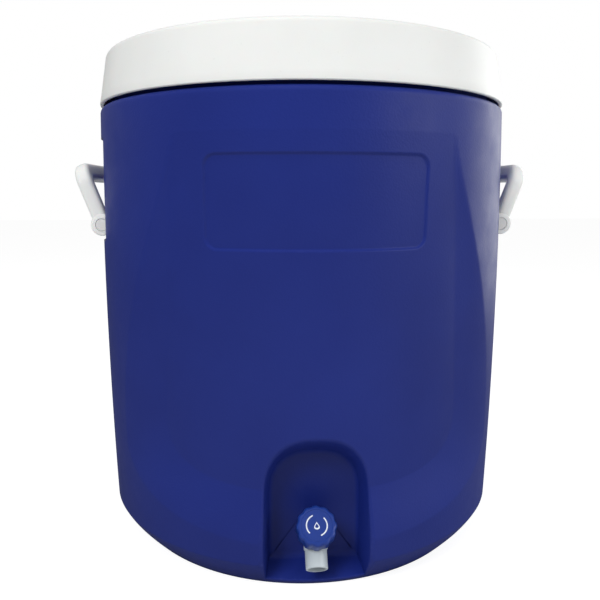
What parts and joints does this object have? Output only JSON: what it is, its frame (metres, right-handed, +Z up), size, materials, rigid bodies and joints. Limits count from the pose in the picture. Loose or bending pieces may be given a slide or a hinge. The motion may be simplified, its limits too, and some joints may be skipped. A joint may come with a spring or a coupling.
{
  "type": "insulated beverage dispenser",
  "caption": "Round insulated drinks cooler with a press-on lid, two fold-out bail handles and a turn-knob tap in a front alcove.",
  "frame": {"origin": "centre of the overall box on the flat base plane", "axes": "+Z up, front with the tap towards -Y, +X to the right of the front"},
  "size_m": [0.4196, 0.3866, 0.4415],
  "materials": {
    "blue_shell": "fine moulded grain",
    "white_plastic": "satin",
    "white_liner": "smooth",
    "foam": "rigid foam",
    "grey_plastic": "satin",
    "blue_knob": "satin",
    "rubber": "matte"
  },
  "bodies": {
    "tank": {"outer_shell": "blue_shell", "foam_insulation": "foam", "inner_liner": "white_liner", "foam_fill_plug": "white_plastic", "handle_pin_left_front": "white_plastic", "handle_pin_left_rear": "white_plastic", "handle_pin_right_front": "white_plastic", "handle_pin_right_rear": "white_plastic", "tap_body": "grey_plastic", "tap_bonnet": "grey_plastic", "stem_seal": "rubber", "tap_outer_gasket": "rubber", "tap_inner_gasket": "rubber", "tap_sleeve": "white_plastic", "tap_nut": "grey_plastic"},
    "lid": {"lid_shell": "white_plastic", "lid_liner": "white_liner", "lid_foam": "foam", "lid_gasket": "rubber"},
    "handle_left": {"handle_left": "white_plastic"},
    "handle_right": {"handle_right": "white_plastic"},
    "tap_knob": {"tap_knob": "blue_knob"},
    "tap_stem": {"tap_stem": "grey_plastic", "valve_washer": "rubber"}
  },
  "joints": [
    {"name": "lid_lift", "type": "slide", "parent": "tank", "child": "lid", "axis": [0, 0, 1], "range_m": [0, 0.12]},
    {"name": "handle_left_swing", "type": "hinge", "parent": "tank", "child": "handle_left", "pos_m": [-0.185, 0, 0.291], "axis": [0, -1, 0], "range_deg": [-18, 68]},
    {"name": "handle_right_swing", "type": "hinge", "parent": "tank", "child": "handle_right", "pos_m": [0.185, 0, 0.291], "axis": [0, 1, 0], "range_deg": [-18, 68]},
    {"name": "knob_turn", "type": "hinge", "parent": "tank", "child": "tap_knob", "pos_m": [0, -0.16438, 0.041], "axis": [0, -0.7071, 0.7071], "range_deg": [0, 360]},
    {"name": "stem_lift", "type": "slide", "parent": "tap_knob", "child": "tap_stem", "axis": [0, -0.7071, 0.7071], "range_m": [0, 0.003]}
  ],
  "couplings": [
    {"joint": "stem_lift", "follows": "knob_turn", "m_per_rad": 0.000477}
  ]
}
